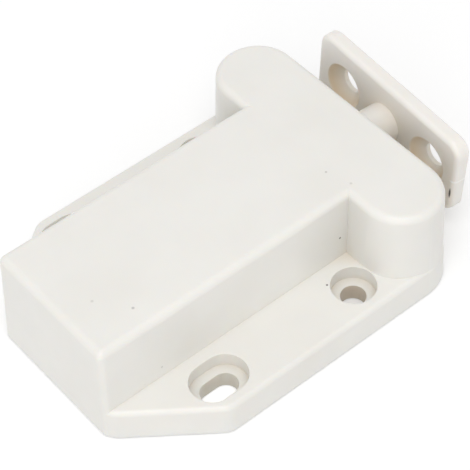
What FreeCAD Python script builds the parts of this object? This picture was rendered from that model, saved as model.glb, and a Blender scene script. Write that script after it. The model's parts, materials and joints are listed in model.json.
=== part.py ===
import FreeCAD, Part
import math
import os

from FreeCAD import Vector

# Push-to-open cupboard catch: a moulded T-shaped housing with drilled flanges, and the strike that its
# two claws hold. Pushing the strike lets the slider out again, and the claws swing open as it comes.
# Origin: on the mounting face, midway between the four screw holes. +X is across, +Y points out of the
# mouth towards the door, +Z points away from the panel. The catch is drawn latched, holding its strike.

# Housing, outside
body_length = 60.5
body_width = 25.5
body_height = 18.0
body_corner_radius = 1.0
top_edge_radius = 1.2
draft_deg = 2.0
head_width = 46.9
head_depth = 14.4
flange_height = 5.5
flange_overhang = 0.15
flange_diagonal_length = 14.2
flange_corner_radius = 3.0
flange_back_radius = 3.5
flange_edge_radius = 0.8

# Screw holes: round ones at the front, slots at the back
hole_pitch_x = 36.2
hole_pitch_y = 26.2
front_hole_to_front = 17.8
screw_hole_diameter = 4.0
counterbore_diameter = 7.1
counterbore_depth = 2.5
slot_travel = 2.3

# Housing, inside
wall = 1.8
roof = 2.0
plate_thickness = 2.0
plate_ledge = 0.9
plate_clearance = 0.1
mouth_sill = 6.8
mouth_side_margin = 0.3
pocket_roof = 2.0
pocket_wall = 1.8
pocket_rib = 1.2

# Motion
travel_in = 2.0
travel_out = 8.0
claw_open_deg = 35.0
lock_swing_deg_per_mm = 1.0

# Claws and their pins
claw_pin_radius = 1.25
claw_pin_clearance = 0.05
claw_boss_radius = 3.6
claw_seat_radius = 3.0
claw_end_clearance = 0.2
claw_seat_height = 0.4
claw_tip_x = 2.8
claw_tip_rear = 3.4
claw_tip_front = 5.7
claw_tip_radius = 0.8
claw_root_front = 3.2
claw_root_rear = 2.0
lobe_x = 5.25
lobe_behind_pivot = 3.3
lobe_radius = 1.2
lobe_clearance = 0.3
socket_clearance = 0.02
pin_socket_depth = 1.0

# Slider
slider_length = 36.3
slider_side_clearance = 0.15
slider_top_clearance = 0.25
slider_rail_clearance = 0.1
slider_corner_radius = 0.8
hook_length = 1.7
hook_reach = 0.5
nose_clearance = 0.2
runner_width = 2.6
runner_height = 1.5
core_side_wall = 1.2
core_width = 3.0
core_end_wall = 3.0
core_top_wall = 1.7

# Main spring
spring_mean_radius = 3.3
spring_wire_radius = 0.4
spring_turns = 6
spring_steps_per_turn = 14
spring_wire_sides = 6
spring_level = 10.4
spring_bore_clearance = 0.7
spring_bore_depth = 22.0
spring_post_clearance = 0.3
spring_post_length = 6.0
spring_end_clearance = 0.05

# Lock pin and the heart-shaped track that it runs in
lock_wire_radius = 0.6
lock_wire_length = 18.5
lock_tip_height = 2.0
lock_foot_depth = 1.4
lock_socket_clearance = 0.05
lock_lift = 0.2
lock_end_margin = 2.5
track_depth = 1.6
track_clearance = 0.3

# Strike
strike_width = 33.0
strike_height = 14.6
strike_depth = 2.65
strike_corner_radius = 2.6
strike_front_edge_radius = 0.9
strike_back_edge_chamfer = 0.4
strike_hole_pitch = 20.0
strike_hole_diameter = 4.0
strike_countersink_diameter = 7.8
strike_countersink_deg = 90.0
strike_stem_radius = 3.4
strike_stem_length = 5.0
strike_neck_radius = 1.6
strike_neck_length = 4.5
strike_head_radius = 4.1
strike_head_length = 2.0
strike_head_chamfer = 0.8
strike_head_clearance = 0.1
strike_yaw_deg = -2.6
strike_roll_deg = -1.45
strike_pitch_deg = -2.05
strike_side_play = -0.6
strike_lift_play = -0.2

# Places that follow from the sizes above
draft_slope = math.tan(math.radians(draft_deg))
draft_run = body_height * draft_slope
front_y = hole_pitch_y / 2 + front_hole_to_front
back_y = front_y - body_length
head_radius = head_depth / 2
pivot_x = head_width / 2 - head_radius
pivot_y = front_y - head_radius
flange_half = head_width / 2 + flange_overhang
roof_z = body_height - roof
cavity_half = body_width / 2 - draft_run - wall
cavity_back_y = back_y + draft_run + wall
cavity_radius = head_radius - draft_run - wall
claw_low_z = mouth_sill + claw_seat_height + claw_end_clearance
claw_high_z = roof_z - claw_end_clearance
claw_mid_z = (claw_low_z + claw_high_z) / 2
runner_top_z = plate_thickness + runner_height
slider_low_z = runner_top_z + slider_rail_clearance
slider_high_z = roof_z - slider_top_clearance
slider_half = cavity_half - slider_side_clearance
slider_back_y = pivot_y - slider_length
spring_bore_radius = spring_mean_radius + spring_wire_radius + spring_bore_clearance
spring_seat_y = slider_back_y + spring_bore_depth
lock_wire_z = plate_thickness + lock_lift + lock_wire_radius
lock_pivot_y = slider_back_y + lock_end_margin + travel_out - lock_wire_length
lock_rest_deg = lock_swing_deg_per_mm * travel_out
strike_reach = strike_stem_length + strike_neck_length + strike_head_length
countersink_run = (strike_countersink_diameter - strike_hole_diameter) / 2
strike_countersink_depth = countersink_run / math.tan(math.radians(strike_countersink_deg / 2))


def box(x0, x1, y0, y1, z0, z1):
    """A block between two corners."""
    return Part.makeBox(x1 - x0, y1 - y0, z1 - z0, Vector(x0, y0, z0))


def rod(x, y, z0, z1, radius):
    """An upright cylinder."""
    return Part.makeCylinder(radius, z1 - z0, Vector(x, y, z0), Vector(0, 0, 1))


def rod_along_y(x, z, y0, y1, radius):
    """A cylinder that lies along Y."""
    return Part.makeCylinder(radius, y1 - y0, Vector(x, y0, z), Vector(0, 1, 0))


def prism(points, z0, z1):
    """A straight prism on a closed outline of (x, y) points."""
    corners = [Vector(x, y, z0) for x, y in points]
    face = Part.Face(Part.makePolygon(corners + corners[:1]))
    return face.extrude(Vector(0, 0, z1 - z0))


def inset_outline(points, inset):
    """The outline with every side moved inwards by inset; the points run anticlockwise."""
    moved = []
    for index, (x, y) in enumerate(points):
        before = points[index - 1]
        after = points[(index + 1) % len(points)]
        a = math.atan2(y - before[1], x - before[0])
        b = math.atan2(after[1] - y, after[0] - x)
        half_turn = (b - a) / 2
        reach = inset / math.cos(half_turn)
        direction = a + half_turn + math.pi / 2
        moved.append((x + reach * math.cos(direction), y + reach * math.sin(direction)))
    return moved


def drafted_prism(points, height):
    """A prism on Z = 0 whose sides lean in by the moulding draft."""
    top_points = inset_outline(points, height * draft_slope)
    low = [Vector(x, y, 0) for x, y in points]
    high = [Vector(x, y, height) for x, y in top_points]
    under = low[::-1]
    faces = [Part.Face(Part.makePolygon(under + under[:1])), Part.Face(Part.makePolygon(high + high[:1]))]
    for index in range(len(low)):
        after = (index + 1) % len(low)
        side = [low[index], low[after], high[after], high[index], low[index]]
        faces.append(Part.Face(Part.makePolygon(side)))
    return Part.Solid(Part.Shell(faces))


def drafted_bar(half_length, y, radius, height):
    """A bar with round ends, lying across X on Z = 0, whose sides lean in by the moulding draft."""
    top_radius = radius - height * draft_slope
    section = [(y - radius, 0), (y + radius, 0), (y + top_radius, height), (y - top_radius, height)]
    corners = [Vector(-half_length, b, c) for b, c in section]
    bar = Part.Face(Part.makePolygon(corners + corners[:1])).extrude(Vector(2 * half_length, 0, 0))
    for x in (-half_length, half_length):
        bar = bar.fuse(Part.makeCone(radius, top_radius, height, Vector(x, y, 0), Vector(0, 0, 1)))
    return bar.removeSplitter()


def straight_bar(half_length, y, radius, z0, z1):
    """A bar with round ends and upright sides, lying across X."""
    bar = box(-half_length, half_length, y - radius, y + radius, z0, z1)
    for x in (-half_length, half_length):
        bar = bar.fuse(rod(x, y, z0, z1, radius))
    return bar.removeSplitter()


def slot_cutter(x, y, travel, radius, z0, z1):
    """A cutter for a hole that is drawn out along Y by travel."""
    cutter = rod(x, y - travel / 2, z0, z1, radius)
    if travel > 0:
        cutter = cutter.fuse(box(x - radius, x + radius, y - travel / 2, y + travel / 2, z0, z1))
        cutter = cutter.fuse(rod(x, y + travel / 2, z0, z1, radius))
    return cutter


def other_side(shape):
    """The mirror image across the plane X = 0."""
    return shape.mirror(Vector(0, 0, 0), Vector(1, 0, 0))


def edges_near(shape, places, reach):
    """The upright edges whose middle lies within reach of one of the (x, y) places."""
    found = []
    for edge in shape.Edges:
        low, high = edge.BoundBox.ZMin, edge.BoundBox.ZMax
        if high - low < reach:
            continue
        middle = edge.BoundBox.Center
        if any(math.hypot(middle.x - x, middle.y - y) < reach for x, y in places):
            found.append(edge)
    return found


def edges_at_height(shape, z):
    """The edges that lie wholly in the plane at height z."""
    return [e for e in shape.Edges if e.BoundBox.ZMin > z - 0.01 and e.BoundBox.ZMax < z + 0.01]


def claw_place(x, y, slide):
    """Where a point of the right-hand claw is, in plan, when the slider has moved by slide."""
    turn = math.radians(claw_open_deg * slide / travel_out)
    dx, dy = x - pivot_x, y - pivot_y
    return (pivot_x + dx * math.cos(turn) + dy * math.sin(turn),
            pivot_y - dx * math.sin(turn) + dy * math.cos(turn))


def housing_outside():
    """The T-shaped box and its flanges, with rounded edges and no hollow."""
    half = body_width / 2
    stem = drafted_prism([(-half, back_y), (half, back_y), (half, pivot_y), (-half, pivot_y)], body_height)
    mid_lean = draft_run / 2
    back_corners = [(x * (half - mid_lean), back_y + mid_lean) for x in (-1, 1)]
    stem = stem.makeFillet(body_corner_radius, edges_near(stem, back_corners, 1.0))
    upper = stem.fuse(drafted_bar(pivot_x, pivot_y, head_radius, body_height)).removeSplitter()
    upper = upper.makeFillet(top_edge_radius, edges_at_height(upper, body_height))

    diagonal_y = back_y + flange_diagonal_length
    flange_front_y = front_y + flange_overhang
    outline = [(-half, back_y), (half, back_y), (flange_half, diagonal_y), (flange_half, flange_front_y),
               (-flange_half, flange_front_y), (-flange_half, diagonal_y)]
    flange = drafted_prism(outline, flange_height)
    front_corners = [(x * flange_half, flange_front_y) for x in (-1, 1)]
    flange = flange.makeFillet(head_radius + flange_overhang, edges_near(flange, front_corners, 1.0))
    side_corners = [(x * flange_half, diagonal_y) for x in (-1, 1)]
    flange = flange.makeFillet(flange_corner_radius, edges_near(flange, side_corners, 1.0))
    foot_corners = [(x * half, back_y) for x in (-1, 1)]
    flange = flange.makeFillet(flange_back_radius, edges_near(flange, foot_corners, 1.0))
    flange = flange.makeFillet(flange_edge_radius, edges_at_height(flange, flange_height))
    return upper.fuse(flange).removeSplitter()


def housing_hollow():
    """The space inside: the slider's channel, the claws' chamber, the plate's rebate and the mouth."""
    low = -1.0
    channel = box(-cavity_half, cavity_half, cavity_back_y, pivot_y, low, roof_z)
    chamber = straight_bar(pivot_x, pivot_y, cavity_radius, low, roof_z)
    rebate_half = cavity_half + plate_ledge
    rebate = box(-rebate_half, rebate_half, cavity_back_y - plate_ledge, pivot_y, low, plate_thickness)
    rebate = rebate.fuse(straight_bar(pivot_x, pivot_y, cavity_radius + plate_ledge, low, plate_thickness))
    mouth_half = pivot_x + mouth_side_margin
    mouth = box(-mouth_half, mouth_half, pivot_y, front_y + 1.0, mouth_sill, roof_z)
    return channel.fuse([chamber, rebate, mouth])


def screw_holes():
    """Cutters for the two round holes and the two slots, each with its counterbore."""
    hole_radius = screw_hole_diameter / 2
    bore_radius = counterbore_diameter / 2
    floor_z = flange_height - counterbore_depth
    cutters = []
    for x in (-hole_pitch_x / 2, hole_pitch_x / 2):
        for y, travel in ((hole_pitch_y / 2, 0.0), (-hole_pitch_y / 2, slot_travel)):
            cutters.append(slot_cutter(x, y, travel, hole_radius, -1.0, flange_height))
            cutters.append(slot_cutter(x, y, travel, bore_radius, floor_z, flange_height + 1.0))
    return cutters


def flange_pockets():
    """Cutters for the cored underside of each flange, between its two screw holes."""
    inner = cavity_half + plate_ledge + pocket_wall
    outer = flange_half - pocket_wall
    boss = counterbore_diameter / 2 + pocket_wall
    low_y = -hole_pitch_y / 2 + slot_travel / 2 + boss
    high_y = hole_pitch_y / 2 - boss
    middle = (low_y + high_y) / 2
    cutters = []
    for start, end in ((low_y, middle - pocket_rib / 2), (middle + pocket_rib / 2, high_y)):
        pocket = box(inner, outer, start, end, -1.0, flange_height - pocket_roof)
        cutters += [pocket, other_side(pocket)]
    return cutters


def make_housing():
    """The whole housing moulding."""
    housing = housing_outside().cut(housing_hollow())
    post_radius = spring_mean_radius - spring_wire_radius - spring_post_clearance
    post_end = cavity_back_y + spring_post_length
    post = rod_along_y(0, spring_level, cavity_back_y - wall / 2, post_end, post_radius)
    sockets = []
    for x in (-pivot_x, pivot_x):
        socket_radius = claw_pin_radius + socket_clearance
        sockets.append(rod(x, pivot_y, roof_z - 1.0, roof_z + pin_socket_depth, socket_radius))
    housing = housing.fuse(post)
    return housing.cut(sockets + screw_holes() + flange_pockets()).removeSplitter()


def make_base_plate():
    """The plate that closes the underside, with the slider's runners and the claw pins' seats."""
    half = cavity_half + plate_ledge - plate_clearance
    start_y = cavity_back_y - plate_ledge + plate_clearance
    radius = cavity_radius + plate_ledge - plate_clearance
    plate = box(-half, half, start_y, pivot_y, 0, plate_thickness)
    plate = plate.fuse(straight_bar(pivot_x, pivot_y, radius, 0, plate_thickness))
    runner_out = cavity_half - plate_clearance
    runner_end = pivot_y - cavity_radius
    runner = box(runner_out - runner_width, runner_out, cavity_back_y + plate_clearance, runner_end,
                 plate_thickness / 2, runner_top_z)
    seat = rod(pivot_x, pivot_y, plate_thickness / 2, claw_low_z - claw_end_clearance, claw_seat_radius)
    plate = plate.fuse([runner, other_side(runner), seat, other_side(seat)])
    socket_floor = plate_thickness / 2
    socket = rod(pivot_x, pivot_y, socket_floor, body_height, claw_pin_radius + socket_clearance)
    foot_z = lock_wire_z - lock_foot_depth - lock_wire_radius
    foot = rod(0, lock_pivot_y, foot_z, body_height, lock_wire_radius + lock_socket_clearance)
    return plate.cut([socket, other_side(socket), foot]).removeSplitter()


def slider_outline():
    """Plan of the slider: the carriage, the notches for the claws' lobes, and the hooked nose."""
    lobe_y = pivot_y - lobe_behind_pivot
    out_x, out_y = claw_place(lobe_x, lobe_y, travel_out)
    in_x, in_y = claw_place(lobe_x, lobe_y, -travel_in)
    nearest_x = claw_place(lobe_x, lobe_y, travel_out / 2)[0]
    bar_half = nearest_x - lobe_radius - lobe_clearance
    lean = (pivot_y - out_y) / (pivot_x - out_x)
    below = (lobe_radius + lobe_clearance) * math.hypot(1.0, lean)
    rest_out_y = out_y - travel_out

    def shoulder(x):
        return rest_out_y + lean * (x - out_x) - below

    hook_half = lobe_x + hook_reach
    lean_in = (pivot_y - in_y) / (pivot_x - in_x)
    above = (lobe_radius + lobe_clearance) * math.hypot(1.0, lean_in)
    hook_back = in_y + travel_in + above + lean_in * max(0.0, hook_half - in_x)
    hook_front = hook_back + hook_length
    half = [(slider_half, slider_back_y), (slider_half, shoulder(slider_half)),
            (bar_half, shoulder(bar_half)), (bar_half, hook_back),
            (hook_half, hook_back), (hook_half, hook_front)]
    return half + [(-x, y) for x, y in reversed(half)], shoulder(slider_half), hook_front


def track_cutter():
    """The heart-shaped track under the slider: two lanes, a cross channel and the rest pocket."""
    low = slider_low_z - 1.0
    high = slider_low_z + track_depth
    lane_half = lock_wire_radius + track_clearance
    swing = math.radians(lock_swing_deg_per_mm * (travel_out + travel_in))
    top_x = lock_wire_length * math.sin(swing)
    top_y = lock_pivot_y + lock_wire_length * math.cos(swing) + travel_in
    foot_y = lock_pivot_y + lock_wire_length - travel_out
    slant = math.atan2(top_x, top_y - foot_y)
    side_x, side_y = lane_half * math.cos(slant), lane_half * math.sin(slant)
    lane = prism([(side_x, foot_y - side_y), (top_x + side_x, top_y - side_y),
                  (top_x - side_x, top_y + side_y), (-side_x, foot_y + side_y)], low, high)
    lane = lane.fuse([rod(top_x, top_y, low, high, lane_half), rod(0, foot_y, low, high, lane_half)])
    entry = box(-lane_half, lane_half, slider_back_y - 1.0, foot_y, low, high)
    rest_y = lock_pivot_y + lock_wire_length * math.cos(math.radians(lock_rest_deg))
    cross = box(-top_x, top_x, rest_y, top_y + lane_half, low, high)
    pocket = rod(0, rest_y, low, high, lane_half)
    return lane.fuse([other_side(lane), entry, cross, pocket])


def make_slider():
    """The carriage that the strike pushes in and the spring pushes out."""
    outline, shoulder_y, nose_y = slider_outline()
    block = prism(outline, slider_low_z, slider_high_z)
    corners = [(x, slider_back_y) for x in (-slider_half, slider_half)]
    block = block.makeFillet(slider_corner_radius, edges_near(block, corners, 0.5))
    nose_low = mouth_sill + nose_clearance
    below_nose = box(-slider_half, slider_half, shoulder_y, nose_y + 1.0, slider_low_z - 1.0, nose_low)
    bore = rod_along_y(0, spring_level, slider_back_y - 1.0, spring_seat_y, spring_bore_radius)
    core_out = slider_half - core_side_wall
    core = box(core_out - core_width, core_out, slider_back_y + core_end_wall, shoulder_y - core_end_wall,
               slider_low_z - 1.0, slider_high_z - core_top_wall)
    return block.cut([below_nose, bore, core, other_side(core), track_cutter()]).removeSplitter()


def make_claw():
    """The right-hand claw: boss, gripping finger in front, driven finger with its round lobe behind."""
    tip_y_front = pivot_y + claw_tip_front
    tip_y_rear = pivot_y + claw_tip_rear
    finger = prism([(pivot_x, pivot_y), (pivot_x, pivot_y + claw_root_front), (claw_tip_x, tip_y_front),
                    (claw_tip_x, tip_y_rear), (pivot_x - claw_boss_radius, pivot_y + claw_root_rear)],
                   claw_low_z, claw_high_z)
    tips = [(claw_tip_x, tip_y_front), (claw_tip_x, tip_y_rear)]
    finger = finger.makeFillet(claw_tip_radius, edges_near(finger, tips, 0.3))
    lobe_y = pivot_y - lobe_behind_pivot
    reach = math.hypot(pivot_x - lobe_x, lobe_behind_pivot)
    across_x = lobe_radius * lobe_behind_pivot / reach
    across_y = lobe_radius * (pivot_x - lobe_x) / reach
    arm = prism([(pivot_x + across_x, pivot_y - across_y), (pivot_x - across_x, pivot_y + across_y),
                 (lobe_x - across_x, lobe_y + across_y), (lobe_x + across_x, lobe_y - across_y)],
                claw_low_z, claw_high_z)
    boss = rod(pivot_x, pivot_y, claw_low_z, claw_high_z, claw_boss_radius)
    lobe = rod(lobe_x, lobe_y, claw_low_z, claw_high_z, lobe_radius)
    claw = boss.fuse([finger, arm, lobe]).removeSplitter()
    return claw.cut(rod(pivot_x, pivot_y, 0, body_height, claw_pin_radius + claw_pin_clearance))


def make_claw_pin():
    """The steel pin under the right-hand claw, seated in the plate and in the roof."""
    return rod(pivot_x, pivot_y, plate_thickness / 2, roof_z + pin_socket_depth, claw_pin_radius)


def make_main_spring():
    """The compression spring, from the housing's back wall to the end of the slider's bore."""
    start = cavity_back_y + spring_wire_radius + spring_end_clearance
    end = spring_seat_y - spring_wire_radius - spring_end_clearance
    steps = spring_turns * spring_steps_per_turn
    sections = []
    for step in range(steps + 1):
        turn = 2 * math.pi * step / spring_steps_per_turn
        along = start + (end - start) * step / steps
        corners = []
        for side in range(spring_wire_sides):
            round_wire = 2 * math.pi * side / spring_wire_sides
            radius = spring_mean_radius + spring_wire_radius * math.cos(round_wire)
            corners.append(Vector(radius * math.cos(turn), along + spring_wire_radius * math.sin(round_wire),
                                  spring_level + radius * math.sin(turn)))
        sections.append(Part.makePolygon(corners + corners[:1]))
    return Part.makeLoft(sections, True, True)


def make_lock_pin():
    """The bent wire whose foot turns in the plate and whose tip runs in the slider's track."""
    foot = Vector(0, 0, -lock_foot_depth)
    tip = Vector(0, lock_wire_length, lock_tip_height)
    path = Part.makePolygon([foot, Vector(0, 0, 0), Vector(0, lock_wire_length, 0), tip])
    section = Part.Wire(Part.makeCircle(lock_wire_radius, foot, Vector(0, 0, 1)))
    wire = path.makePipeShell([section], True, False, 1)
    wire.rotate(Vector(0, 0, 0), Vector(0, 0, 1), -lock_rest_deg)
    wire.translate(Vector(0, lock_pivot_y, lock_wire_z))
    return wire


def strike_stem():
    """The round stem, turned: thick at the plate, a neck for the claws, and a button head."""
    neck_start = strike_stem_length
    head_start = neck_start + strike_neck_length
    head_end = strike_reach
    r = strike_head_radius
    profile = [Vector(0, strike_depth / 2, 0), Vector(strike_stem_radius, strike_depth / 2, 0),
               Vector(strike_stem_radius, -neck_start, 0), Vector(strike_neck_radius, -neck_start, 0),
               Vector(strike_neck_radius, -head_start, 0), Vector(r, -head_start, 0),
               Vector(r, -head_end + strike_head_chamfer, 0), Vector(r - strike_head_chamfer, -head_end, 0),
               Vector(0, -head_end, 0)]
    face = Part.Face(Part.makePolygon(profile + profile[:1]))
    return face.revolve(Vector(0, 0, 0), Vector(0, 1, 0), 360)


def rounded_plate(width, height, y0, y1, radius):
    """An upright plate with round corners, from y0 to y1."""
    plate = box(-width / 2, width / 2, y0, y1, -height / 2, height / 2)
    along_y = [e for e in plate.Edges if e.BoundBox.YLength > (y1 - y0) / 2]
    return plate.makeFillet(radius, along_y)


def make_strike():
    """The strike, drawn with its front face on Y = 0, then hung in the claws as it sits there."""
    plate = rounded_plate(strike_width, strike_height, 0, strike_depth, strike_corner_radius)
    front = [e for e in plate.Edges if e.BoundBox.YMax < 0.01]
    plate = plate.makeFillet(strike_front_edge_radius, front)
    back = [e for e in plate.Edges if e.BoundBox.YMin > strike_depth - 0.01]
    plate = plate.makeChamfer(strike_back_edge_chamfer, back)
    plate = plate.fuse(strike_stem())
    cutters = []
    for x in (-strike_hole_pitch / 2, strike_hole_pitch / 2):
        cutters.append(rod_along_y(x, 0, -1.0, strike_depth + 1.0, strike_hole_diameter / 2))
        cutters.append(Part.makeCone(strike_countersink_diameter / 2, strike_hole_diameter / 2,
                                     strike_countersink_depth, Vector(x, 0, 0), Vector(0, 1, 0)))
    strike = plate.cut(cutters).removeSplitter()
    tilt_room = strike_head_radius * math.sin(math.radians(abs(strike_yaw_deg)))
    head_y = slider_outline()[2] + strike_head_clearance + tilt_room
    plate_y = head_y + strike_reach
    centre = Vector(0, -strike_reach, 0)
    strike.rotate(centre, Vector(1, 0, 0), strike_pitch_deg)
    strike.rotate(centre, Vector(0, 1, 0), -strike_roll_deg)
    strike.rotate(centre, Vector(0, 0, 1), strike_yaw_deg)
    strike.translate(Vector(strike_side_play, plate_y, claw_mid_z + strike_lift_play))
    return strike


def export_parts():
    """Write every piece to its own file."""
    claw = make_claw()
    claw_pin = make_claw_pin()
    pieces = {
        "housing": make_housing(),
        "base_plate": make_base_plate(),
        "slider": make_slider(),
        "claw_right": claw,
        "claw_left": other_side(claw),
        "claw_pin_right": claw_pin,
        "claw_pin_left": other_side(claw_pin),
        "main_spring": make_main_spring(),
        "lock_pin": make_lock_pin(),
        "strike": make_strike(),
    }
    os.makedirs("parts", exist_ok=True)
    for name, shape in pieces.items():
        shape.exportStep("parts/" + name + ".step")


export_parts()
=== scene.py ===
import json
import math

import bpy
from mathutils import Matrix, Vector


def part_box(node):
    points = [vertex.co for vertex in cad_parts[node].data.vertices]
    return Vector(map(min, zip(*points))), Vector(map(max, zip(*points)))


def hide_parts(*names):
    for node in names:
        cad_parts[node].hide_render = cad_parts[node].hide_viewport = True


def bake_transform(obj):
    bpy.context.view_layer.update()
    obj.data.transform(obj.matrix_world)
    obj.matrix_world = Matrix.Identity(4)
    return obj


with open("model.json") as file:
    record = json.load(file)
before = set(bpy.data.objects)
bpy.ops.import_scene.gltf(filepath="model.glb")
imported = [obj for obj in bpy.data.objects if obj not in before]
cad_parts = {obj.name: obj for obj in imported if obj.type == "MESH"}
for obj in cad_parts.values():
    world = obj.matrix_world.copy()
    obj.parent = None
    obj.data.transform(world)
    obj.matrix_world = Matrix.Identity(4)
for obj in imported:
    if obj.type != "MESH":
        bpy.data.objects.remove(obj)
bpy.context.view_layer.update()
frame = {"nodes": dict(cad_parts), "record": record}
nodes = frame["nodes"]

# Lengths are in metres, colours are linear RGB, noise scales are per metre, and a range is a pair (from, to).
WHITE = (1.0, 1.0, 1.0)
RISING = (0.0, 1.0)
FALLING = (1.0, 0.0)
BOTH_SIDES = (1, -1)

# Moulded plastic
CLOUD_SCALE = 90.0
CLOUD_RANGE = (0.35, 0.65)
# Samples of the ambient occlusion that places the painted shade in recesses
RECESS_SAMPLES = 24
SMUDGE_SCALE = 70.0
SMUDGE_RANGE = (0.50, 0.80)
SMUDGE_STRENGTH = (0.0, 0.30)
SMUDGE_COLOUR = (0.78, 0.755, 0.70)
SPECK_CELL_SCALE = 160.0
SPECK_EDGE = (0.02, 0.05)
SPECK_FIELD_SCALE = 60.0
SPECK_FIELD_RANGE = (0.54, 0.66)
SPECK_STRENGTH = (0.0, 0.45)
SPECK_COLOUR = (0.16, 0.14, 0.12)
GLOSS_SCALE = 350.0
GLOSS_RANGE = (0.3, 0.7)
PLASTIC_IOR = 1.5
SUBSURFACE_WEIGHT = 0.25
SUBSURFACE_RADIUS = (1.0, 0.75, 0.5)
SUBSURFACE_SCALE = 0.0012
GRAIN_SCALE = 1800.0
GRAIN_STRENGTH = 0.06
GRAIN_HEIGHT = 0.00004

# Dirt and painted shade on the housing
WALL_SLOPE = (0.3, 0.7)
SCREW_X = 0.0181
FRONT_HOLE_Y = 0.0131
SLOT_Y = -0.0131
DIRT_AND_SHADOW_EDGE = (0.6, 1.2)
DIRT_AND_SHADOW_COLOUR = (0.06, 0.045, 0.04)
HOUSING_SPECKS = (  # place, radius, strength
    ((0.01241, 0.01536, 0.00963), 0.00020, 0.90),
    ((0.01544, 0.01013, 0.00550), 0.00018, 0.85),
    ((0.00827, -0.02006, 0.01800), 0.00024, 0.35),
    ((0.00669, 0.01750, 0.01800), 0.00020, 0.30),
    ((0.01249, -0.01892, 0.00753), 0.00018, 0.30),
)

# Painted shade in the screw holes, a painted highlight along the parting line and a painted shadow in a gap, on the
# strike
STRIKE_HOLE_SHADE_IN = (0.88, 0.84, 0.77)
STRIKE_HOLE_SHADE_OUT = (0.78, 0.65, 0.48)
STRIKE_HOLE_SHADE_SPREAD = (0.0020, 0.0034)
STRIKE_HOLE_SHADE_EDGE = (0.0037, 0.0040)
PARTING_HIGHLIGHT_ENDS = (0.0153, 0.0159)
PARTING_HIGHLIGHT_STRENGTH = (0.0, 0.85)
PARTING_HIGHLIGHT_WIDTH = (0.00010, 0.00026)
PARTING_HIGHLIGHT_COLOUR = (0.95, 0.94, 0.92)
SHADOW_SLIT_PLACE = (0.01568, 0.03513, 0.00803)
SHADOW_SLIT_HALF_SIZES = (0.00017, 0.00030, 0.00105)
SHADOW_SLIT_STRENGTH = 0.95

# Steel
LINE_STRETCH = 0.08
LINE_SCALE = 4000.0
LINE_RANGE = (0.3, 0.7)
LINE_STRENGTH = 0.08
LINE_DEPTH = 0.00002
STEEL_ROUGHNESS = (0.22, 0.40)

# Main spring
WIRE_RADIUS = 0.0004
COIL_TURNS = 6
COIL_STEPS_PER_TURN = 28
WIRE_SIDES = 12

# Floor, lights and world
FLOOR_SIZE = 6.0
FLOOR_PLACE = (0, 0, -0.0002)
FLOOR_NOISE_SCALE = 40.0
FLOOR_DARK = (0.79, 0.79, 0.79)
FLOOR_LIGHT = (0.81, 0.81, 0.81)
FLOOR_ROUGHNESS = 0.9
FLOOR_LIFT_RADII = (0.12, 1.0)
FLOOR_LIFT = (0.25, 0.50)
SLOT_PAINTED_LIGHT = (2.0, 2.0, 2.0)
SLOT_PAINTED_LIGHT_HALF_SIZES = (0.0036, 0.0048, math.inf)
SLOT_PAINTED_LIGHT_EDGE = (0.8, 1.0)
LIGHT_AIM = (0, 0, 0.01)
WORLD_LEVEL = 0.69

# The photo's camera: from behind, to the right and above
CAMERA_PLACE = (0.145093, -0.110085, 0.221191)
CAMERA_AZIMUTH = math.radians(51.54)
CAMERA_ELEVATION = math.radians(49.105)
CAMERA_ROLL = math.radians(-1.965)
CAMERA_LENS_MM = 142.65
CAMERA_SENSOR_MM = 36.0
CAMERA_CLIP_START = 0.01


def new_material(name):
    """A fresh node material: its tree, its shader and its object coordinates in metres."""
    material = bpy.data.materials.new(name)
    material.use_nodes = True
    tree = material.node_tree
    shader = tree.nodes["Principled BSDF"]
    place = tree.nodes.new("ShaderNodeTexCoord")
    return material, tree, shader, place.outputs["Object"]


def noise(tree, place, scale, detail, roughness=0.5):
    """A noise texture's value."""
    node = tree.nodes.new("ShaderNodeTexNoise")
    node.inputs["Scale"].default_value = scale
    node.inputs["Detail"].default_value = detail
    node.inputs["Roughness"].default_value = roughness
    tree.links.new(place, node.inputs["Vector"])
    return node.outputs["Fac"]


def spread(tree, value, source, target):
    """The value, stretched from one range to another and held within it."""
    node = tree.nodes.new("ShaderNodeMapRange")
    node.inputs["From Min"].default_value, node.inputs["From Max"].default_value = source
    node.inputs["To Min"].default_value, node.inputs["To Max"].default_value = target
    tree.links.new(value, node.inputs["Value"])
    return node.outputs["Result"]


def mixed(tree, factor, first, second):
    """A colour between two others; each may be a colour or another node's output."""
    node = tree.nodes.new("ShaderNodeMix")
    node.data_type = "RGBA"
    tree.links.new(factor, node.inputs[0])
    for socket, colour in ((node.inputs[6], first), (node.inputs[7], second)):
        if isinstance(colour, tuple):
            socket.default_value = (*colour, 1.0)
        else:
            tree.links.new(colour, socket)
    return node.outputs[2]


def bump(tree, shader, height, strength, distance):
    """A fine surface relief."""
    node = tree.nodes.new("ShaderNodeBump")
    node.inputs["Strength"].default_value = strength
    node.inputs["Distance"].default_value = distance
    tree.links.new(height, node.inputs["Height"])
    tree.links.new(node.outputs["Normal"], shader.inputs["Normal"])


def value_math(tree, operation, first, second=None):
    """A number operation on one or two node outputs."""
    node = tree.nodes.new("ShaderNodeMath")
    node.operation = operation
    tree.links.new(first, node.inputs[0])
    if second is not None:
        tree.links.new(second, node.inputs[1])
    return node.outputs[0]


def vector_math(tree, operation, first, second=None):
    """A vector operation; the second operand, if any, is a constant vector."""
    node = tree.nodes.new("ShaderNodeVectorMath")
    node.operation = operation
    tree.links.new(first, node.inputs[0])
    if second is not None:
        node.inputs[1].default_value = second
    return node.outputs["Value" if operation in ("DOT_PRODUCT", "LENGTH") else "Vector"]


def scaled_distance(tree, place, centre, half_sizes):
    """0 at the centre of a patch, and 1 at its half sizes along the axes."""
    offset = vector_math(tree, "SUBTRACT", place, centre)
    scaled = vector_math(tree, "MULTIPLY", offset, tuple(1 / half for half in half_sizes))
    return vector_math(tree, "LENGTH", scaled)


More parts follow.
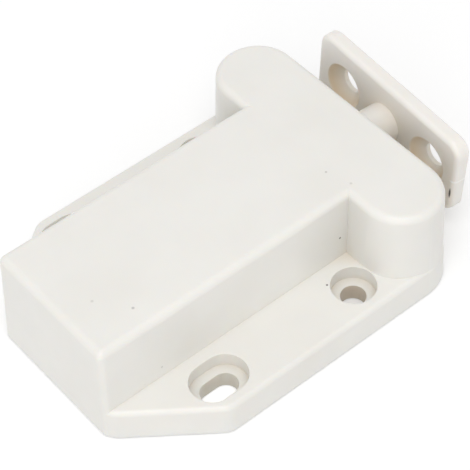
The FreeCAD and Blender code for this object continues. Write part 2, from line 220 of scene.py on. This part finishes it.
def dirt_and_shadow_speck(tree, place, tone, centre, half_sizes, strength):
    """A dark speck: dirt on the housing, and a painted shadow on the strike."""
    distance = scaled_distance(tree, place, centre, half_sizes)
    return mixed(tree, spread(tree, distance, DIRT_AND_SHADOW_EDGE, (strength, 0.0)), tone, DIRT_AND_SHADOW_COLOUR)


def painted_shade_patch(tree, place, tone, where, centre, half_sizes, core, strength, colour):
    """A soft patch of painted shade on some faces: even in its core, a share of its half sizes, and gone at its edge.
    """
    distance = scaled_distance(tree, place, centre, half_sizes)
    patch = spread(tree, distance, (core, 1.0), (strength, 0.0))
    return mixed(tree, value_math(tree, "MULTIPLY", where, patch), tone, colour)


def moulded_plastic(name, light, dark, recess_shade, recess_range, recess_reach, roughness, own_recesses=True):
    """Satin moulded plastic: cloudy, with painted shade, warm and dark, in its recesses, and with soft smudges and
    faint specks.

    The last value that comes back is its colour, which isn't joined to the shader yet.
    """
    material, tree, shader, place = new_material(name)
    cloud = spread(tree, noise(tree, place, CLOUD_SCALE, detail=3.0, roughness=0.55), CLOUD_RANGE, RISING)
    # Painted shade: the colour turns to the recess colour where ambient occlusion finds the surface hemmed in.
    hollow = tree.nodes.new("ShaderNodeAmbientOcclusion")
    hollow.samples = RECESS_SAMPLES
    hollow.only_local = own_recesses
    hollow.inputs["Distance"].default_value = recess_reach
    depth = spread(tree, hollow.outputs["AO"], recess_range, FALLING)
    tone = mixed(tree, depth, mixed(tree, cloud, light, dark), recess_shade)
    smudges = spread(tree, noise(tree, place, SMUDGE_SCALE, detail=2.0), SMUDGE_RANGE, SMUDGE_STRENGTH)
    tone = mixed(tree, smudges, tone, SMUDGE_COLOUR)
    cells = tree.nodes.new("ShaderNodeTexVoronoi")
    cells.inputs["Scale"].default_value = SPECK_CELL_SCALE
    tree.links.new(place, cells.inputs["Vector"])
    specks = spread(tree, cells.outputs["Distance"], SPECK_EDGE, FALLING)
    field = spread(tree, noise(tree, place, SPECK_FIELD_SCALE, detail=1.0), SPECK_FIELD_RANGE, SPECK_STRENGTH)
    tone = mixed(tree, value_math(tree, "MULTIPLY", specks, field), tone, SPECK_COLOUR)
    gloss = spread(tree, noise(tree, place, GLOSS_SCALE, detail=4.0), GLOSS_RANGE, roughness)
    tree.links.new(gloss, shader.inputs["Roughness"])
    shader.inputs["IOR"].default_value = PLASTIC_IOR
    shader.inputs["Subsurface Weight"].default_value = SUBSURFACE_WEIGHT
    shader.inputs["Subsurface Radius"].default_value = SUBSURFACE_RADIUS
    shader.inputs["Subsurface Scale"].default_value = SUBSURFACE_SCALE
    bump(tree, shader, noise(tree, place, GRAIN_SCALE, detail=2.0), GRAIN_STRENGTH, GRAIN_HEIGHT)
    return material, tree, shader, place, tone


def housing_plastic():
    """The housing's plastic: painted shade on the walls of its inner corners and screw holes, and a few dark specks
    of dirt.
    """
    material, tree, shader, place, tone = moulded_plastic(
        "housing_plastic", light=(0.850, 0.836, 0.797), dark=(0.830, 0.816, 0.775), recess_shade=(0.68, 0.59, 0.47),
        recess_range=(0.10, 0.58), recess_reach=0.005, roughness=(0.30, 0.40))
    normal = tree.nodes.new("ShaderNodeNewGeometry").outputs["Normal"]
    levelness = value_math(tree, "ABSOLUTE", vector_math(tree, "DOT_PRODUCT", normal, (0, 0, 1)))
    walls = spread(tree, levelness, WALL_SLOPE, FALLING)
    for side in BOTH_SIDES:
        # Painted shade on the walls of the inner corner between the stem and the head.
        tone = painted_shade_patch(
            tree, place, tone, walls, centre=(side * 0.0125, 0.0167, 0.009), half_sizes=(0.0065, 0.0105, 0.020),
            core=0.0, strength=0.7, colour=(0.68, 0.665, 0.62))
        # Painted shade on the walls of the front screw hole.
        tone = painted_shade_patch(
            tree, place, tone, walls, centre=(side * SCREW_X, FRONT_HOLE_Y, 0.0), half_sizes=(0.0030, 0.0030, 0.0060),
            core=0.75, strength=0.9, colour=(0.72, 0.64, 0.53))
        # Painted shade on the walls of the rear slot.
        tone = painted_shade_patch(
            tree, place, tone, walls, centre=(side * SCREW_X, SLOT_Y, 0.0), half_sizes=(0.0030, 0.0043, 0.0060),
            core=0.75, strength=0.7, colour=(0.77, 0.72, 0.62))
    for centre, radius, strength in HOUSING_SPECKS:
        tone = dirt_and_shadow_speck(tree, place, tone, centre, (radius, radius, radius), strength)
    tree.links.new(tone, shader.inputs["Base Color"])
    return material


def strike_plastic():
    """The strike's plastic: painted shade in its screw holes, a painted highlight along a parting line on its ends
    and a painted shadow by the housing's head.
    """
    # Painted shade: with own_recesses off, the recess shade also darkens the strike where the housing hems it in.
    material, tree, shader, place, tone = moulded_plastic(
        "strike_plastic", light=(0.890, 0.862, 0.822), dark=(0.865, 0.838, 0.795), recess_shade=(0.80, 0.735, 0.63),
        recess_range=(0.15, 0.78), recess_reach=0.010, roughness=(0.30, 0.40), own_recesses=False)
    mounts = {mount["name"]: mount for mount in frame["record"]["mounts"]}
    left = Vector(mounts["strike_screw_left"]["pos_m"])
    right = Vector(mounts["strike_screw_right"]["pos_m"])
    outward = Vector(mounts["strike_face"]["axis"]).normalized()
    across = (right - left).normalized()
    # Painted shade: warm and dark in each screw hole's countersink, fading out at its rim.
    for hole in (left, right):
        offset = vector_math(tree, "SUBTRACT", place, hole)
        radius = vector_math(tree, "LENGTH", vector_math(tree, "CROSS_PRODUCT", offset, outward))
        outwards = spread(tree, radius, STRIKE_HOLE_SHADE_SPREAD, RISING)
        hole_shade = mixed(tree, outwards, STRIKE_HOLE_SHADE_IN, STRIKE_HOLE_SHADE_OUT)
        tone = mixed(tree, spread(tree, radius, STRIKE_HOLE_SHADE_EDGE, FALLING), tone, hole_shade)
    # Painted highlight: a lighter line along the middle of each end of the strike, on its parting line.
    from_middle = vector_math(tree, "SUBTRACT", place, (left + right) / 2)
    sideways = value_math(tree, "ABSOLUTE", vector_math(tree, "DOT_PRODUCT", from_middle, across))
    ends = spread(tree, sideways, PARTING_HIGHLIGHT_ENDS, PARTING_HIGHLIGHT_STRENGTH)
    height = vector_math(tree, "DOT_PRODUCT", from_middle, across.cross(outward))
    highlight_line = spread(tree, value_math(tree, "ABSOLUTE", height), PARTING_HIGHLIGHT_WIDTH, FALLING)
    tone = mixed(tree, value_math(tree, "MULTIPLY", ends, highlight_line), tone, PARTING_HIGHLIGHT_COLOUR)
    # Painted shadow: a dark slit on the strike's end beside the housing's head, where the gap between them is in
    # shade.
    tone = dirt_and_shadow_speck(tree, place, tone, SHADOW_SLIT_PLACE, SHADOW_SLIT_HALF_SIZES, SHADOW_SLIT_STRENGTH)
    tree.links.new(tone, shader.inputs["Base Color"])
    return material


def bearing_plastic():
    """The slider's and the claws' smoother, cooler plastic."""
    material, tree, shader, _, tone = moulded_plastic(
        "bearing_plastic", light=(0.84, 0.84, 0.82), dark=(0.81, 0.81, 0.79), recess_shade=(0.70, 0.68, 0.63),
        recess_range=(0.05, 0.32), recess_reach=0.004, roughness=(0.29, 0.36))
    tree.links.new(tone, shader.inputs["Base Color"])
    return material


def drawn_steel(name, light, dark, along):
    """Bright steel with fine drawing lines along one axis."""
    material, tree, shader, place = new_material(name)
    stretch = tree.nodes.new("ShaderNodeMapping")
    stretch.inputs["Scale"].default_value = tuple(LINE_STRETCH if axis == along else 1.0 for axis in "xyz")
    tree.links.new(place, stretch.inputs["Vector"])
    lines = noise(tree, stretch.outputs["Vector"], LINE_SCALE, detail=4.0, roughness=0.6)
    tree.links.new(mixed(tree, lines, light, dark), shader.inputs["Base Color"])
    tree.links.new(spread(tree, lines, LINE_RANGE, STEEL_ROUGHNESS), shader.inputs["Roughness"])
    shader.inputs["Metallic"].default_value = 1.0
    bump(tree, shader, lines, LINE_STRENGTH, LINE_DEPTH)
    return material


def dress(names, material):
    """Give the material to CAD nodes."""
    for name in names:
        mesh = nodes[name].data
        mesh.materials.clear()
        mesh.materials.append(material)


def add_spring_coil(material):
    """The main spring in round wire, in its node's place."""
    low, high = (Vector(corner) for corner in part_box("main_spring"))
    middle = (low + high) / 2
    mean_radius = (high.x - low.x) / 2 - WIRE_RADIUS
    first = Vector((middle.x, low.y + WIRE_RADIUS, middle.z))
    last = Vector((middle.x, high.y - WIRE_RADIUS, middle.z))
    rings = COIL_TURNS * COIL_STEPS_PER_TURN + 1
    points = []
    for ring in range(rings):
        centre = first.lerp(last, ring / (rings - 1))
        turn = 2 * math.pi * ring / COIL_STEPS_PER_TURN
        for side in range(WIRE_SIDES):
            round_wire = 2 * math.pi * side / WIRE_SIDES
            radius = mean_radius + WIRE_RADIUS * math.cos(round_wire)
            along = WIRE_RADIUS * math.sin(round_wire)
            points.append(centre + Vector((radius * math.cos(turn), along, radius * math.sin(turn))))
    first_end = tuple(reversed(range(WIRE_SIDES)))
    last_end = tuple(range((rings - 1) * WIRE_SIDES, rings * WIRE_SIDES))
    faces = [first_end, last_end]
    for ring in range(rings - 1):
        for side in range(WIRE_SIDES):
            here = ring * WIRE_SIDES + side
            beside = ring * WIRE_SIDES + (side + 1) % WIRE_SIDES
            faces.append((here, beside, beside + WIRE_SIDES, here + WIRE_SIDES))
    mesh = bpy.data.meshes.new("main_spring_coil")
    mesh.from_pydata(points, [], faces)
    mesh.shade_smooth()
    mesh.materials.append(material)
    coil = bpy.data.objects.new("main_spring_coil", mesh)
    bpy.context.scene.collection.objects.link(coil)
    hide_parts("main_spring")
    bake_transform(coil)


def seen_directly(tree):
    """1 for what the camera sees, also in a mirror or through glass, and 0 for the light that falls on things."""
    rays = tree.nodes.new("ShaderNodeLightPath")
    seen = rays.outputs["Is Camera Ray"]
    for name in ("Is Glossy Ray", "Is Transmission Ray"):
        seen = value_math(tree, "MAXIMUM", seen, rays.outputs[name])
    return seen


def add_floor():
    """A wide pale floor under the catch, lifted to white where it is looked at, with a painted pool of light in the
    shade under the slots.
    """
    bpy.ops.mesh.primitive_plane_add(size=FLOOR_SIZE, location=FLOOR_PLACE)
    floor = bpy.context.object
    floor.name = "floor"
    material, tree, shader, place = new_material("floor_paper")
    shade = mixed(tree, noise(tree, place, FLOOR_NOISE_SCALE, detail=2.0), FLOOR_DARK, FLOOR_LIGHT)
    tree.links.new(shade, shader.inputs["Base Color"])
    glow = WHITE
    # Painted light: where it is seen, the floor under each rear slot glows brighter than the housing's shade would
    # let it be.
    for side in BOTH_SIDES:
        distance = scaled_distance(tree, place, (side * SCREW_X, SLOT_Y, 0.0), SLOT_PAINTED_LIGHT_HALF_SIZES)
        glow = mixed(tree, spread(tree, distance, SLOT_PAINTED_LIGHT_EDGE, FALLING), glow, SLOT_PAINTED_LIGHT)
    tree.links.new(glow, shader.inputs["Emission Color"])
    lift = spread(tree, vector_math(tree, "LENGTH", place), FLOOR_LIFT_RADII, FLOOR_LIFT)
    seen_lift = value_math(tree, "MULTIPLY", seen_directly(tree), lift)
    tree.links.new(seen_lift, shader.inputs["Emission Strength"])
    shader.inputs["Roughness"].default_value = FLOOR_ROUGHNESS
    shader.inputs["Specular IOR Level"].default_value = 0.0
    floor.data.materials.append(material)


def add_light(name, place, size, power):
    """A square soft white light that looks at the catch."""
    data = bpy.data.lights.new(name, "AREA")
    data.shape = "SQUARE"
    data.size = size
    data.energy = power
    light = bpy.data.objects.new(name, data)
    light.location = place
    light.rotation_euler = (Vector(LIGHT_AIM) - Vector(place)).to_track_quat("-Z", "Y").to_euler()
    bpy.context.scene.collection.objects.link(light)


def add_world():
    """White where it is looked at, and an even soft light elsewhere."""
    world = bpy.data.worlds.new("studio")
    bpy.context.scene.world = world
    world.use_nodes = True
    tree = world.node_tree
    background = tree.nodes["Background"]
    background.inputs["Color"].default_value = (*WHITE, 1.0)
    strength = spread(tree, seen_directly(tree), RISING, (WORLD_LEVEL, 1.0))
    tree.links.new(strength, background.inputs["Strength"])


def add_camera():
    """The camera, turned and placed as the photo's was."""
    flat = math.cos(CAMERA_ELEVATION)
    back = Vector((math.sin(CAMERA_AZIMUTH) * flat, -math.cos(CAMERA_AZIMUTH) * flat, math.sin(CAMERA_ELEVATION)))
    level = Vector((math.cos(CAMERA_AZIMUTH), math.sin(CAMERA_AZIMUTH), 0.0))
    above = back.cross(level)
    right = math.cos(CAMERA_ROLL) * level + math.sin(CAMERA_ROLL) * above
    up = -math.sin(CAMERA_ROLL) * level + math.cos(CAMERA_ROLL) * above
    data = bpy.data.cameras.new("photo_view")
    data.sensor_fit = "HORIZONTAL"
    data.sensor_width = CAMERA_SENSOR_MM
    data.lens = CAMERA_LENS_MM
    data.clip_start = CAMERA_CLIP_START
    camera = bpy.data.objects.new("photo_view", data)
    turn = Matrix((right, up, back)).transposed().to_4x4()
    camera.matrix_world = Matrix.Translation(CAMERA_PLACE) @ turn
    bpy.context.scene.collection.objects.link(camera)
    bpy.context.scene.camera = camera


pin_steel = drawn_steel("pin_steel", light=(0.62, 0.62, 0.63), dark=(0.48, 0.48, 0.49), along="z")
wire_steel = drawn_steel("wire_steel", light=(0.56, 0.56, 0.58), dark=(0.42, 0.42, 0.44), along="y")
dress(["housing", "base_plate"], housing_plastic())
dress(["strike"], strike_plastic())
dress(["slider", "claw_left", "claw_right"], bearing_plastic())
dress(["claw_pin_left", "claw_pin_right"], pin_steel)
dress(["main_spring", "lock_pin"], wire_steel)
add_spring_coil(wire_steel)

add_floor()
add_light("key", place=(0.17, -0.13, 0.60), size=0.35, power=1.10)
add_light("fill", place=(0.37, -0.46, 0.30), size=0.50, power=0.74)
add_world()
add_camera()
bpy.context.scene.view_settings.view_transform = "Standard"
